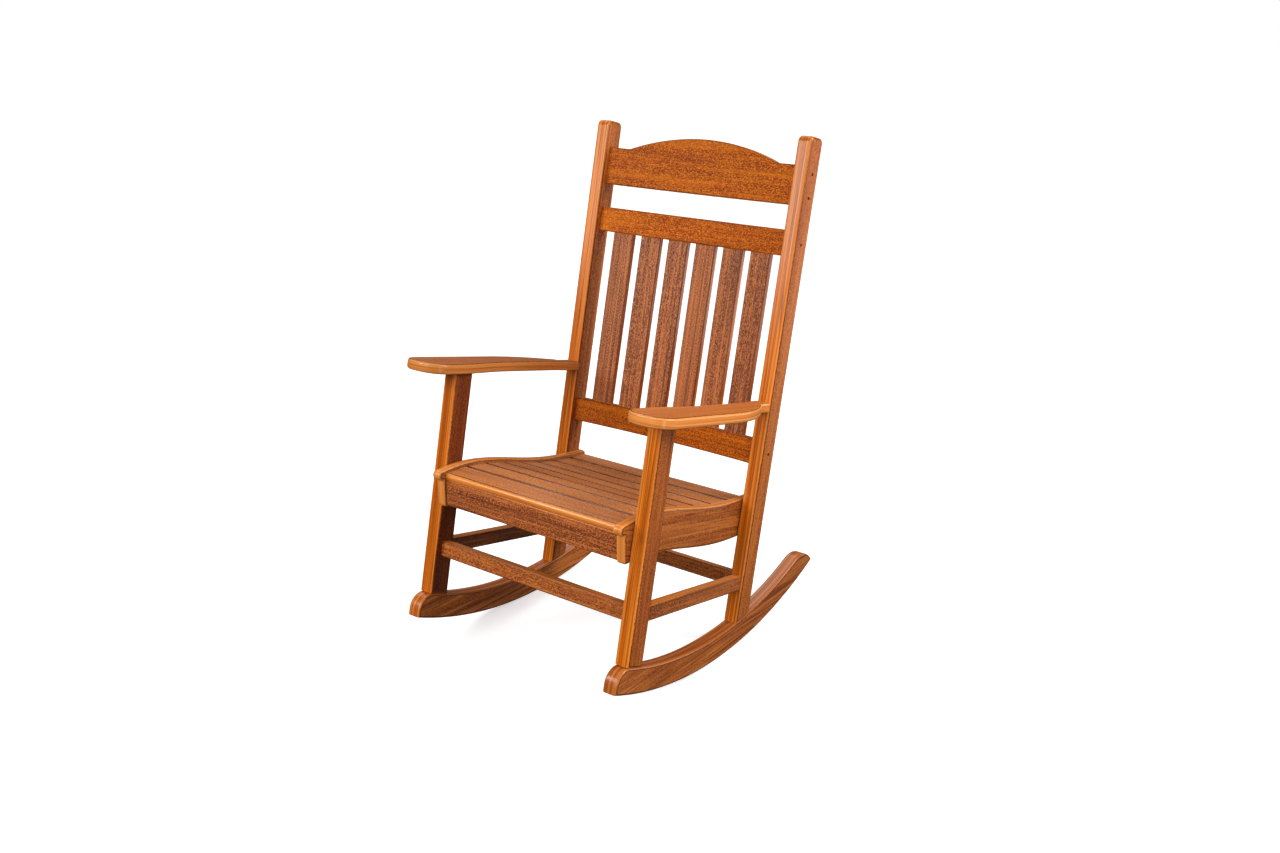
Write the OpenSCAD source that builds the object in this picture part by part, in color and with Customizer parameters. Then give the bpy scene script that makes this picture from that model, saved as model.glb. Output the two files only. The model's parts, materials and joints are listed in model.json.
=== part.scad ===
// Porch rocking chair in solid recycled-plastic lumber.
// Every board is drawn with the legs upright: +X is the sitter's left, +Y runs from the
// front leg to the back, and height 0 is the lowest point of the rockers.
// The whole chair is then leaned back to the angle at which it balances on its rockers.

/* [Lumber] */
// Thickness of the rockers, legs and posts, side to side
post_t = 38; // [34:1:44]
// Depth of the legs and posts, front to back
post_d = 61; // [54:1:66]
// Thickness of the boards: arms, rails, apron and stretchers
board_t = 25; // [22:1:28]
// Thickness of the seat slats
slat_t = 19; // [16:1:22]
// Thickness of the back slats
back_slat_t = 16; // [13:1:19]
// Width of the back rails, the apron and the board under the rear of the seat
rail_w = 64.5; // [58:0.5:70]

/* [Frame] */
// Clear width between the legs
inner_w = 564; // [520:2:600]
// Distance from the front of the leg to the front of the rear post
wheelbase = 481; // [460:1:500]
// Height of the underside of the arms
arm_z = 641; // [600:1:680]
// Height of the top of the rear posts
post_top_z = 1316; // [1306:1:1400]
// Radius on the two upper corners of a rear post
post_round = 15; // [4:1:22]
// Backward lean of the legs when the chair stands still
lean = 11; // [8:0.1:15]

/* [Rockers] */
// Radius of the curve that rolls on the floor
rocker_r = 1134; // [1050:2:1250]
// Depth of a rocker, from the floor curve to the top curve
rocker_w = 63; // [54:1:70]
// Distance of the centre of the curves behind the front of the leg
rocker_mid_y = 221; // [200:1:240]
// Radius of the rounded nose
nose_r = 39; // [30:1:42]
// Distance of the centre of the nose behind the front of the leg
nose_y = 5; // [0:1:8]
// Radius that rounds off the top of the tail
tail_r = 83; // [60:1:100]
// Distance of the centre of the tail round behind the front of the leg
tail_y = 818; // [780:1:850]

/* [Back] */
// How far the middle of the back is bowed away from the sitter
back_bow = 20; // [10:1:30]
// Setback of the rails from the front of the posts
back_inset = 19; // [12:1:24]
// Height of the bottom of the lower back rail
lower_rail_z = 502; // [470:1:520]
// Height of the bottom of the upper back rail
upper_rail_z = 1025.5; // [980:0.5:1040]
// Height of the bottom of the crest rail
crest_z = 1150.5; // [1120:0.5:1160]
// Height of the flat shoulders of the crest rail
crest_shoulder_h = 97; // [85:1:105]
// Height of the crest rail in the middle
crest_h = 139.5; // [120:0.5:145]
// Half the width of the arch on the crest rail
crest_half_arch = 223; // [180:1:240]
// Width of a back slat
back_slat_w = 60; // [50:1:64]
// Spacing of the back slats, centre to centre
back_slat_pitch = 84; // [78:0.5:88]
// Depth of the pockets in the rails that hold the ends of the back slats
housing = 10; // [6:1:14]

/* [Seat] */
// Highest point of the seat rails, above the rockers
seat_z = 425.5; // [400:0.5:450]
// Distance of that point behind the front of the leg
seat_crest_y = 100; // [90:1:110]
// Half the rise and fall of the scoop in the seat
seat_wave = 8.25; // [5:0.25:12]
// Distance from the highest to the lowest point of the scoop
seat_half_wave = 285; // [270:1:300]
// Depth of the seat rails
seat_rail_h = 100; // [95:1:105]
// How far the slats lie below the top of the seat rails
slat_drop = 9; // [5:1:12]
// Gap between seat slats
seat_gap = 6; // [4:0.5:10]

/* [Arms] */
// Distance of the outer edge of an arm from the middle of the chair
arm_out_x = 382; // [370:1:395]
// Distance of the front of an arm in front of the leg
arm_front = 93; // [80:1:100]
// Radius of the curve that narrows the arm towards the post
arm_shoulder_r = 409; // [380:1:440]
// Distance behind the front of the leg where the narrowing starts
arm_shoulder_y = 220; // [200:1:230]
// Length of the narrow neck that meets the post
arm_neck = 49; // [40:1:60]

/* [Stretchers] */
// Height of the bottom of the stretchers
stretcher_z = 181; // [150:1:200]
// Height of a stretcher board
stretcher_h = 38; // [34:1:44]
// Setback of the side stretchers from the outer face of the legs
side_inset = 6; // [3:1:8]

/* [Fasteners] */
// Radius of a screw shank
shank_r = 2.4; // [2:0.1:3]
// Radius of a screw head
head_r = 4; // [3.6:0.1:5]
// Radius of a double-ended dowel screw
dowel_r = 3; // [2.5:0.1:3.5]

/* [Hidden] */
$fn = 64;
arc_fn = 360;
bore_fn = 32;
head_h = 3;
clearance = 0.15;
through = 40;
inner_x = inner_w / 2;
outer_x = inner_x + post_t;
mid_x = inner_x + post_t / 2;
rail_x = inner_x - board_t;
leg_mid_y = post_d / 2;
back_slats = 6;
seat_slats = 8;
post_mid_y = wheelbase + post_d / 2;

// Rockers: two concentric curves with a rounded nose and tail.
// The rounds bite into the top curve a little, so that they cross it instead of only touching it.
top_r = rocker_r - rocker_w;
round_bite = 0.15;
nose_d = top_r + nose_r - round_bite;
tail_d = top_r + tail_r - round_bite;
nose_angle = asin((nose_y - rocker_mid_y) / nose_d);
tail_angle = asin((tail_y - rocker_mid_y) / tail_d);
nose_z = rocker_r - nose_d * cos(nose_angle);
tip_angle = tail_angle + acos((tail_d ^ 2 + rocker_r ^ 2 - tail_r ^ 2) / (2 * tail_d * rocker_r));
tip_y = rocker_mid_y + rocker_r * sin(tip_angle);
tip_z = rocker_r - rocker_r * cos(tip_angle);
function rocker_under(y) = rocker_r - sqrt(rocker_r ^ 2 - (y - rocker_mid_y) ^ 2);

// Where the leaned chair stands: nose and tail equally far from the origin, lowest point at 0
nose_tip_y = nose_y - nose_r;
rocker_wedge = 1.2;
front_y = nose_tip_y * cos(lean) + rocker_under(nose_tip_y) * sin(lean);
rear_y = tip_y * cos(lean) + tip_z * sin(lean);
stand_y = -(front_y + rear_y) / 2;
stand_z = rocker_r - rocker_r * cos(lean) + rocker_mid_y * sin(lean);

// Back: front faces of the rails lie on a cylinder of this radius
bow_r = (inner_x ^ 2 + back_bow ^ 2) / (2 * back_bow);
bow_centre_y = wheelbase + back_inset + back_bow - bow_r;
arch_rise = crest_h - crest_shoulder_h;
arch_r = (crest_half_arch ^ 2 + arch_rise ^ 2) / (2 * arch_rise);
slat_bow_r = bow_r + (board_t - back_slat_t) / 2;
back_slat_z = lower_rail_z + rail_w - housing;
back_slat_l = upper_rail_z + housing - back_slat_z;
crest_screw_up = [20, 77];
back_screw_z = concat(
    [lower_rail_z + rail_w / 2, upper_rail_z + rail_w / 2],
    [for (up = crest_screw_up) crest_z + up]
);
back_screw_recess = 6;
back_screw_l = 76;

// Seat: the top of the seat rails as a function of the distance from the front
seat_front_curve = 1000;
seat_step = 14;
function seat_top(y) = y < seat_crest_y
    ? seat_z - (seat_crest_y - y) ^ 2 / seat_front_curve
    : seat_z - seat_wave + seat_wave * cos(180 * (y - seat_crest_y) / seat_half_wave);
rail_nose_r = 12;
rail_nose_y = -33;
rail_step_y = -27;
rail_step_h = 6;
rail_foot_y = -14;
rail_under_y = 12;
rail_corner_r = 10;
rail_corner_step = 15;
rail_end_in = 3;
rail_end_y = wheelbase + post_d - rail_end_in;
nosing_y = -24;
nosing_back_y = 44;
seat_past_post = 53;
seat_end_y = wheelbase + seat_past_post;
seat_slat_w = (seat_end_y - nosing_back_y) / (seat_slats - 1) - seat_gap;
function slat_start(k) = k == 1 ? nosing_y
    : nosing_back_y + seat_gap + (k - 2) * (seat_slat_w + seat_gap);
function slat_end(k) = k == 1 ? nosing_back_y : slat_start(k) + seat_slat_w;
function slat_z(y) = seat_top(y) - slat_drop;
function slat_angle(k) = atan2(slat_z(slat_end(k)) - slat_z(slat_start(k)), slat_end(k) - slat_start(k));
function slat_len(k) = norm([slat_end(k) - slat_start(k), slat_z(slat_end(k)) - slat_z(slat_start(k))]);
// A corner on the underside of slat k, u along the slat from its front edge
function slat_under(k, u) = [
    slat_start(k) + u * cos(slat_angle(k)) + slat_t * sin(slat_angle(k)),
    slat_z(slat_start(k)) + u * sin(slat_angle(k)) - slat_t * cos(slat_angle(k))
];
apron_u = 2;
rear_board_u = 30;
cleat_t = 19;
cleat_h = 30;
cleat_front_y = 20;
cleat_past_post = 15;
cleat_rear_y = wheelbase + cleat_past_post;
support_h = 45;
cleat_screw_y = [for (k = [3, 5, 7]) slat_start(k) - seat_gap / 2];
slat_screw_l = 34;
slat_screw_in = 14;
slat_screw_end = 12;
seat_screw_l = 50;
seat_screw_leg_y = 44;
seat_screw_post_y = 9;
seat_screw_y = [seat_screw_leg_y, wheelbase + seat_screw_post_y];
seat_screw_down = [94.5, 76.5];
seat_screw_z = [for (down = seat_screw_down) seat_z - down];
board_dowel_edge = 16;
board_dowel_w = [board_dowel_edge, rail_w - board_dowel_edge];
board_dowel_l = 40;
board_dowel_in = 15;
support_dowel_in = 15;
support_end_y = 34;

// Arms
arm_in_front_x = 266;
arm_in_mid_x = 287;
arm_in_rear_x = 277;
arm_neck_in = 2;
arm_neck_x = outer_x - arm_neck_in;
arm_in_r = 53;
arm_out_r = 45;
arm_neck_y = wheelbase - arm_neck;
arm_curve_from = -10;
arm_curve_to = 200;
arm_return_y = 380;
arm_corner_step = 9;
arm_side_step = 20;
arm_shoulder_steps = 12;
function ease(y, y0, y1, a, b) = (a + b) / 2 - (b - a) / 2 * cos(180 * (y - y0) / (y1 - y0));
arm_screw_recess = 8;
arm_screw_l = 92;

// Stretchers and rocker screws
stretcher_y = 20;
stretcher_mid_y = stretcher_y + board_t / 2;
stretcher_mid_z = stretcher_z + stretcher_h / 2;
side_x = outer_x - side_inset - board_t;
stretcher_dowel_gap = 18;
dowel_z = [for (way = [-1, 1]) stretcher_mid_z + way * stretcher_dowel_gap / 2];
dowel_in_post = 20;
dowel_l = 50;
rocker_recess = 12;
rocker_screw_l = 95;
rocker_screw_gap = 26;
arm_dowel_gap = 22;
arm_dowel_up = 14;

// ---------------------------------------------------------------- placing

// Leans the upright chair back and stands it on its rockers
module stand() {
    translate([0, stand_y, stand_z]) rotate([-lean, 0, 0]) children();
}

// Turns an outline in (Y, Z) into a board of thickness t whose inner face is at x
module side_board(side, x, t) {
    translate([side > 0 ? x : -x - t, 0, 0]) rotate([90, 0, 90]) linear_extrude(t) children();
}

// The frame of seat slat k: its front upper edge, with +Y along the slat
module on_slat(k) {
    translate([0, slat_start(k), slat_z(slat_start(k))]) rotate([slat_angle(k), 0, 0]) children();
}

module on_both_sides() {
    for (side = [-1, 1]) translate([side * mid_x, 0, 0]) children();
}

// ---------------------------------------------------------------- fasteners

// A screw along -Z with the top of its head at the origin
module screw(length) {
    translate([0, 0, -head_h]) cylinder(h = head_h, r = head_r, $fn = bore_fn);
    translate([0, 0, -length]) cylinder(h = length - head_h, r = shank_r, $fn = bore_fn);
}

// The hole for that screw, open above the head
module screw_bore(length) {
    translate([0, 0, -head_h]) cylinder(h = head_h + through, r = head_r + clearance, $fn = bore_fn);
    translate([0, 0, -length - 1]) cylinder(h = length, r = shank_r + clearance, $fn = bore_fn);
}

// A double-ended dowel screw along +Z, and the blind hole for it
module dowel(length) {
    cylinder(h = length, r = dowel_r, $fn = bore_fn);
}

module dowel_bore(length) {
    cylinder(h = length, r = dowel_r + clearance, $fn = bore_fn);
}

module at_back_screws() {
    for (side = [-1, 1], z = back_screw_z)
        translate([side * (outer_x - back_screw_recess), post_mid_y, z])
            rotate([0, side * 90, 0]) children();
}

module at_rocker_screws() {
    for (y = [leg_mid_y, post_mid_y], offset_y = [-1, 1] * rocker_screw_gap / 2)
        on_both_sides()
            translate([0, y + offset_y, rocker_under(y + offset_y) + rocker_recess])
                rotate([180, 0, 0]) children();
}

module at_arm_screws() {
    on_both_sides()
        translate([0, wheelbase + post_d - arm_screw_recess, arm_z + board_t / 2])
            rotate([-90, 0, 0]) children();
}

module at_arm_dowels() {
    for (offset_y = [-1, 1] * arm_dowel_gap / 2)
        on_both_sides()
            translate([0, leg_mid_y + offset_y, arm_z + arm_dowel_up - dowel_l]) children();
}

// Across the chair, from the front and rear stretchers into the legs and posts
module at_cross_dowels() {
    for (side = [-1, 1], y = [0, wheelbase], z = dowel_z)
        translate([side * (inner_x + dowel_in_post - dowel_l), y + stretcher_mid_y, z])
            rotate([0, side * 90, 0]) children();
}

// Along the chair, from the side stretchers into the legs and posts
module at_side_dowels() {
    for (side = [-1, 1], z = dowel_z) {
        translate([side * (side_x + board_t / 2), post_d - dowel_in_post, z])
            rotate([-90, 0, 0]) children();
        translate([side * (side_x + board_t / 2), wheelbase + dowel_in_post, z])
            rotate([90, 0, 0]) children();
    }
}

// From the inner face of a seat rail out into a leg or post
module at_seat_rail_screws() {
    for (side = [-1, 1], y = seat_screw_y, z = seat_screw_z)
        translate([side * (rail_x + head_h), y, z]) rotate([0, -side * 90, 0]) children();
}

module at_cleat_screws() {
    for (side = [-1, 1], y = cleat_screw_y)
        translate([side * (rail_x - cleat_t + head_h), y, slat_z(y) - slat_t - cleat_h / 2])
            rotate([0, -side * 90, 0]) children();
}

// Up into slat k from below, u along the slat
module under_slat(k, x, u) {
    on_slat(k) translate([x, u, slat_screw_in - slat_t - slat_screw_l]) rotate([180, 0, 0]) children();
}

// Through the cleats into every slat, and through the centre support into all but the end ones
module at_slat_screws() {
    for (side = [-1, 1], k = [1 : seat_slats])
        under_slat(k, side * (rail_x - cleat_t / 2),
            k == 1 ? slat_len(k) - slat_screw_end : k == seat_slats ? slat_screw_end : slat_len(k) / 2)
            children();
    for (k = [2 : seat_slats - 1]) under_slat(k, 0, slat_len(k) / 2) children();
}

// Blind, from the seat rails into the ends of the apron and of the rear board
module at_board_dowels() {
    for (side = [-1, 1], w = board_dowel_w) {
        on_slat(1) translate([0, apron_u + board_t / 2, -slat_t - w])
            board_dowel_place(side) children();
        on_slat(seat_slats) translate([0, rear_board_u + board_t / 2, -slat_t - w])
            board_dowel_place(side) children();
    }
}

module board_dowel_place(side) {
    translate([side * (rail_x + board_dowel_in - board_dowel_l), 0, 0])
        rotate([0, side * 90, 0]) children();
}

// Along the chair at the two ends of the centre support
module at_support_dowels() {
    on_slat(1) translate([0, apron_u + board_t - support_dowel_in, -slat_t - support_h / 2])
        rotate([-90, 0, 0]) children();
    on_slat(seat_slats) translate([0, rear_board_u + support_dowel_in, -slat_t - support_h / 2])
        rotate([90, 0, 0]) children();
}

// ---------------------------------------------------------------- base

module rocker_outline() {
    centre = [rocker_mid_y, rocker_r];
    wedge_r = rocker_wedge * rocker_r;
    difference() {
        intersection() {
            translate(centre) circle(rocker_r, $fn = arc_fn);
            union() {
                polygon([
                    centre,
                    centre + wedge_r * [sin(nose_angle), -cos(nose_angle)],
                    centre + wedge_r * [sin(tail_angle), -cos(tail_angle)]
                ]);
                translate([nose_y, nose_z]) circle(nose_r);
                translate([nose_tip_y, 0]) square([nose_r, nose_z]);
                translate([tail_y, rocker_r - tail_d * cos(tail_angle)]) circle(tail_r);
            }
        }
        translate(centre) circle(top_r, $fn = arc_fn);
    }
}

module rocker(side) {
    color("#A5602F") stand() difference() {
        side_board(side, inner_x, post_t) rocker_outline();
        at_rocker_screws() screw_bore(rocker_screw_l);
    }
}

// The foot of a leg or post follows the top curve of the rocker
module on_rocker() {
    intersection() {
        children();
        translate([rocker_mid_y, rocker_r]) circle(top_r, $fn = arc_fn);
    }
}

module front_leg(side) {
    color("#C9762F") stand() difference() {
        side_board(side, inner_x, post_t) on_rocker() square([post_d, arm_z]);
        at_rocker_screws() screw_bore(rocker_screw_l);
        at_arm_dowels() dowel_bore(dowel_l);
        at_cross_dowels() dowel_bore(dowel_l);
        at_side_dowels() dowel_bore(dowel_l);
        at_seat_rail_screws() screw_bore(seat_screw_l);
    }
}

module post_outline() {
    translate([wheelbase, 0]) {
        square([post_d, post_top_z - post_round]);
        translate([post_round, 0]) square([post_d - 2 * post_round, post_top_z]);
        translate([post_round, post_top_z - post_round]) circle(post_round);
        translate([post_d - post_round, post_top_z - post_round]) circle(post_round);
    }
}

module rear_post(side) {
    color("#C06C2B") stand() difference() {
        side_board(side, inner_x, post_t) on_rocker() post_outline();
        at_rocker_screws() screw_bore(rocker_screw_l);
        at_back_screws() screw_bore(back_screw_l);
        at_arm_screws() screw_bore(arm_screw_l);
        at_cross_dowels() dowel_bore(dowel_l);
        at_side_dowels() dowel_bore(dowel_l);
        at_seat_rail_screws() screw_bore(seat_screw_l);
    }
}

module cross_stretcher(y) {
    color("#A35C2D") stand() difference() {
        translate([-inner_x, y, stretcher_z]) cube([inner_w, board_t, stretcher_h]);
        at_cross_dowels() dowel_bore(dowel_l);
    }
}

module side_stretcher(side) {
    color("#A35C2D") stand() difference() {
        translate([side > 0 ? side_x : -side_x - board_t, post_d, stretcher_z])
            cube([board_t, wheelbase - post_d, stretcher_h]);
        at_side_dowels() dowel_bore(dowel_l);
    }
}

// ---------------------------------------------------------------- arms

function arc_points(centre, r, from, to, step) =
    [for (a = [from : step : to]) centre + r * [cos(a), sin(a)]];

module arm_outline() {
    shoulder = [arm_out_x - arm_shoulder_r, arm_shoulder_y];
    shoulder_end = asin((arm_neck_y - arm_shoulder_y) / arm_shoulder_r);
    inner_corner = [arm_in_front_x + arm_in_r, arm_in_r - arm_front];
    outer_corner = [arm_out_x - arm_out_r, arm_out_r - arm_front];
    polygon(concat(
        arc_points(inner_corner, arm_in_r, 180, 270, arm_corner_step),
        arc_points(outer_corner, arm_out_r, 270, 360, arm_corner_step),
        arc_points(shoulder, arm_shoulder_r, 0, shoulder_end, shoulder_end / arm_shoulder_steps),
        [[arm_neck_x, arm_neck_y], [arm_neck_x, wheelbase], [arm_in_rear_x, wheelbase]],
        [for (y = [wheelbase - arm_side_step : -arm_side_step : arm_return_y])
            [ease(y, arm_return_y, wheelbase, arm_in_mid_x, arm_in_rear_x), y]],
        [for (y = [arm_curve_to : -arm_side_step : arm_curve_from])
            [ease(y, arm_curve_from, arm_curve_to, arm_in_front_x, arm_in_mid_x), y]]
    ));
}

module arm(side) {
    color("#C87B3E") stand() difference() {
        translate([0, 0, arm_z]) mirror([side > 0 ? 0 : 1, 0, 0])
            linear_extrude(board_t) arm_outline();
        at_arm_screws() screw_bore(arm_screw_l);
        at_arm_dowels() dowel_bore(dowel_l);
    }
}

// ---------------------------------------------------------------- back

module bowed_plan() {
    intersection() {
        difference() {
            translate([0, bow_centre_y]) circle(bow_r + board_t, $fn = arc_fn);
            translate([0, bow_centre_y]) circle(bow_r, $fn = arc_fn);
        }
        translate([-inner_x, wheelbase]) square([inner_w, post_d + back_bow]);
    }
}

module bowed_board(z, h) {
    translate([0, 0, z]) linear_extrude(h) bowed_plan();
}

module back_slat_body(k) {
    translate([0, bow_centre_y, back_slat_z])
        rotate([0, 0, -asin((k - (back_slats + 1) / 2) * back_slat_pitch / slat_bow_r)])
            translate([-back_slat_w / 2, slat_bow_r, 0])
                cube([back_slat_w, back_slat_t, back_slat_l]);
}

module back_rail(z) {
    color("#A6591C") stand() difference() {
        bowed_board(z, rail_w);
        for (k = [1 : back_slats]) back_slat_body(k);
        at_back_screws() screw_bore(back_screw_l);
    }
}

module crest_outline() {
    translate([-inner_x, crest_z]) square([inner_w, crest_shoulder_h]);
    intersection() {
        translate([0, crest_z + crest_h - arch_r]) circle(arch_r, $fn = arc_fn);
        translate([-crest_half_arch, crest_z]) square([2 * crest_half_arch, crest_h]);
    }
}

module crest_rail() {
    color("#A6591C") stand() difference() {
        intersection() {
            bowed_board(crest_z, crest_h);
            translate([0, wheelbase + post_d + back_bow, 0]) rotate([90, 0, 0])
                linear_extrude(post_d + back_bow) crest_outline();
        }
        at_back_screws() screw_bore(back_screw_l);
    }
}

module back_slat(k) {
    color("#96552F") stand() back_slat_body(k);
}

// ---------------------------------------------------------------- seat

// Scooped top, parallel bottom, rounded nose with a step below it
module seat_rail_outline() {
    nose_top = seat_top(rail_nose_y);
    nose_centre = [rail_nose_y, nose_top - rail_nose_r];
    corner_centre = [rail_foot_y + rail_corner_r, seat_top(0) - seat_rail_h + rail_corner_r];
    end_centre = [rail_end_y - rail_corner_r, seat_top(rail_end_y) - rail_corner_r];
    polygon(concat(
        [for (y = [rail_nose_y : seat_step : rail_end_y - rail_corner_r]) [y, seat_top(y)]],
        arc_points(end_centre, rail_corner_r, 75, 0, -rail_corner_step),
        [for (y = [rail_end_y : -seat_step : rail_under_y]) [y, seat_top(y) - seat_rail_h]],
        arc_points(corner_centre, rail_corner_r, 270, 195, -rail_corner_step),
        [for (drop = [rail_step_h, 0]) [rail_step_y, nose_top - 2 * rail_nose_r - drop]],
        arc_points(nose_centre, rail_nose_r, 270, 105, -rail_corner_step)
    ));
}

module seat_rail(side) {
    color("#AD6534") stand() difference() {
        side_board(side, rail_x, board_t) seat_rail_outline();
        at_seat_rail_screws() screw_bore(seat_screw_l);
        at_cleat_screws() screw_bore(slat_screw_l);
        at_board_dowels() dowel_bore(board_dowel_l);
    }
}

// A strip of height h that carries the slats, from the apron to the rear board
module under_slats_outline(h) {
    top = [for (k = [1 : seat_slats], u = [0, slat_len(k)]) slat_under(k, u)];
    bottom = [for (i = [len(top) - 1 : -1 : 0]) top[i] - [0, h]];
    polygon(concat(top, bottom));
}

module seat_cleat(side) {
    color("#8A4E2A") stand() difference() {
        side_board(side, rail_x - cleat_t, cleat_t) intersection() {
            under_slats_outline(cleat_h);
            translate([cleat_front_y, 0]) square([cleat_rear_y - cleat_front_y, seat_z]);
        }
        at_cleat_screws() screw_bore(slat_screw_l);
        at_slat_screws() screw_bore(slat_screw_l);
    }
}

module seat_center_support() {
    color("#8A4E2A") stand() difference() {
        translate([-board_t / 2, 0, 0]) rotate([90, 0, 90]) linear_extrude(board_t)
            intersection() {
                under_slats_outline(support_h);
                square([wheelbase + support_end_y, seat_z]);
            }
        apron_body(slat_t);
        rear_board_body(slat_t);
        at_support_dowels() dowel_bore(dowel_l);
        at_slat_screws() screw_bore(slat_screw_l);
    }
}

// The boards across the front and rear of the seat, with over more height to cut another part
module apron_body(over = 0) {
    on_slat(1) translate([-rail_x, apron_u, -slat_t - rail_w])
        cube([2 * rail_x, board_t, rail_w + over]);
}

module rear_board_body(over = 0) {
    on_slat(seat_slats) translate([-rail_x, rear_board_u, -slat_t - rail_w])
        cube([2 * rail_x, board_t, rail_w + over]);
}

module apron_front() {
    color("#8E5230") stand() difference() {
        apron_body();
        at_board_dowels() dowel_bore(board_dowel_l);
        at_support_dowels() dowel_bore(dowel_l);
    }
}

module seat_rear_board() {
    color("#8A4E2A") stand() difference() {
        rear_board_body();
        at_board_dowels() dowel_bore(board_dowel_l);
        at_support_dowels() dowel_bore(dowel_l);
    }
}

// The first slat is the nosing: its front edge is a full half round
module seat_slat(k) {
    nose = k == 1 ? slat_t / 2 : 0;
    color("#A06A4C") stand() difference() {
        on_slat(k) {
            translate([-rail_x, nose, -slat_t]) cube([2 * rail_x, slat_len(k) - nose, slat_t]);
            if (k == 1)
                translate([-rail_x, nose, -nose]) rotate([0, 90, 0]) cylinder(h = 2 * rail_x, r = nose);
        }
        at_slat_screws() screw_bore(slat_screw_l);
    }
}

// ---------------------------------------------------------------- hardware groups

module screws_back() { color("#8C5A32") stand() at_back_screws() screw(back_screw_l); }
module screws_rocker() { color("silver") stand() at_rocker_screws() screw(rocker_screw_l); }
module screws_arm() { color("silver") stand() at_arm_screws() screw(arm_screw_l); }
module screws_seat_rail() { color("silver") stand() at_seat_rail_screws() screw(seat_screw_l); }
module screws_cleat() { color("silver") stand() at_cleat_screws() screw(slat_screw_l); }
module screws_slat() { color("silver") stand() at_slat_screws() screw(slat_screw_l); }
module dowels_seat_board() { color("silver") stand() at_board_dowels() dowel(board_dowel_l); }
module dowels_arm() { color("silver") stand() at_arm_dowels() dowel(dowel_l); }
module dowels_support() { color("silver") stand() at_support_dowels() dowel(dowel_l); }

module dowels_stretcher() {
    color("silver") stand() {
        at_cross_dowels() dowel(dowel_l);
        at_side_dowels() dowel(dowel_l);
    }
}

// ---------------------------------------------------------------- the chair

rocker(-1);  // rocker_right
rocker(1);  // rocker_left
front_leg(-1);  // front_leg_right
front_leg(1);  // front_leg_left
rear_post(-1);  // rear_post_right
rear_post(1);  // rear_post_left
arm(-1);  // arm_right
arm(1);  // arm_left
seat_rail(-1);  // seat_rail_right
seat_rail(1);  // seat_rail_left
seat_cleat(-1);  // seat_cleat_right
seat_cleat(1);  // seat_cleat_left
seat_center_support();
seat_rear_board();
apron_front();
seat_slat(1);  // seat_slat_1
seat_slat(2);  // seat_slat_2
seat_slat(3);  // seat_slat_3
seat_slat(4);  // seat_slat_4
seat_slat(5);  // seat_slat_5
seat_slat(6);  // seat_slat_6
seat_slat(7);  // seat_slat_7
seat_slat(8);  // seat_slat_8
crest_rail();
back_rail(upper_rail_z);  // back_rail_upper
back_rail(lower_rail_z);  // back_rail_lower
back_slat(1);  // back_slat_1
back_slat(2);  // back_slat_2
back_slat(3);  // back_slat_3
back_slat(4);  // back_slat_4
back_slat(5);  // back_slat_5
back_slat(6);  // back_slat_6
cross_stretcher(stretcher_y);  // stretcher_front
cross_stretcher(wheelbase + stretcher_y);  // stretcher_rear
side_stretcher(-1);  // stretcher_right
side_stretcher(1);  // stretcher_left
screws_back();
screws_rocker();
screws_arm();
dowels_arm();
dowels_stretcher();
screws_seat_rail();
screws_cleat();
screws_slat();
dowels_seat_board();
dowels_support();
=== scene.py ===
"""Visual model of a porch rocking chair in plastic lumber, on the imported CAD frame.

Every board is rebuilt from its CAD node: its outline and thickness are read from the node's
mesh, and its machined edges are rounded. Each corner of a board's mesh also stores where it
lies in that board: along it, across it and through it. The lumber materials draw their grain
from that, so it follows each board, and they tell the embossed faces from the machined edges.
"""

import json
import math

import bpy
import numpy as np
from mathutils import Matrix, Vector

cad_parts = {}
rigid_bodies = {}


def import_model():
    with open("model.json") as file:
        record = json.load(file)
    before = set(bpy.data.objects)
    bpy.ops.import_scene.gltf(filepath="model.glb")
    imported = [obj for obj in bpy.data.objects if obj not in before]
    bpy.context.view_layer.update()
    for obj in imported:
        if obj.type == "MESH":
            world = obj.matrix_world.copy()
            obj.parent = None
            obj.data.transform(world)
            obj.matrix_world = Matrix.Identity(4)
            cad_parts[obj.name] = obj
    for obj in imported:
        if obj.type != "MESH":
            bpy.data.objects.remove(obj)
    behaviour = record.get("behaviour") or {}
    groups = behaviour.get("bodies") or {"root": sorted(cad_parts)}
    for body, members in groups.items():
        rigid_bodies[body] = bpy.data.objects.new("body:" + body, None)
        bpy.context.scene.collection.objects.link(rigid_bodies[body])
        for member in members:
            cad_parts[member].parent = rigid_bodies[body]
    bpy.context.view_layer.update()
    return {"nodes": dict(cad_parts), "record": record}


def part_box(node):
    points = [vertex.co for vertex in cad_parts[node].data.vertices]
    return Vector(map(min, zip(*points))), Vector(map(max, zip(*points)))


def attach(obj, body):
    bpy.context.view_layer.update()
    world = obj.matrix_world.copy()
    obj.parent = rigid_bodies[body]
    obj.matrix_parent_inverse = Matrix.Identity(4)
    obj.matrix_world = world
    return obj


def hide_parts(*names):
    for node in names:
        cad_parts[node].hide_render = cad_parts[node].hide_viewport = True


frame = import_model()

MM = 0.001

# the boards
EDGE_ROUND = 6 * MM  # radius on the machined edges of the frame
THIN_ROUND = 3 * MM  # and on most of the thinner boards
SLAT_ROUND = 2.5 * MM  # and on the back slats
CLEAT_ROUND = 2 * MM  # and on the bearers under the seat
NOSING = 9.4 * MM  # the rolled front of the first seat slat
SEAT_SLATS = 8
BACK_SLATS = 6
ROUND_STEPS = 4  # facets across each rounded quarter circle
RAIL_STATIONS = 49  # along each bowed rail, besides the corners of its CAD outline
CREASE = math.radians(38)  # a sharper bend than this stays an edge

# the screws
HEAD_HEIGHT = 3 * MM
HEAD_EDGE = 0.6 * MM  # from the top of a head down to its full width
TIP_LENGTH = 6 * MM
DRIVE_DEPTH = 1.6 * MM
TURNED_SIDES = 24  # facets round a screw or a recess

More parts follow.
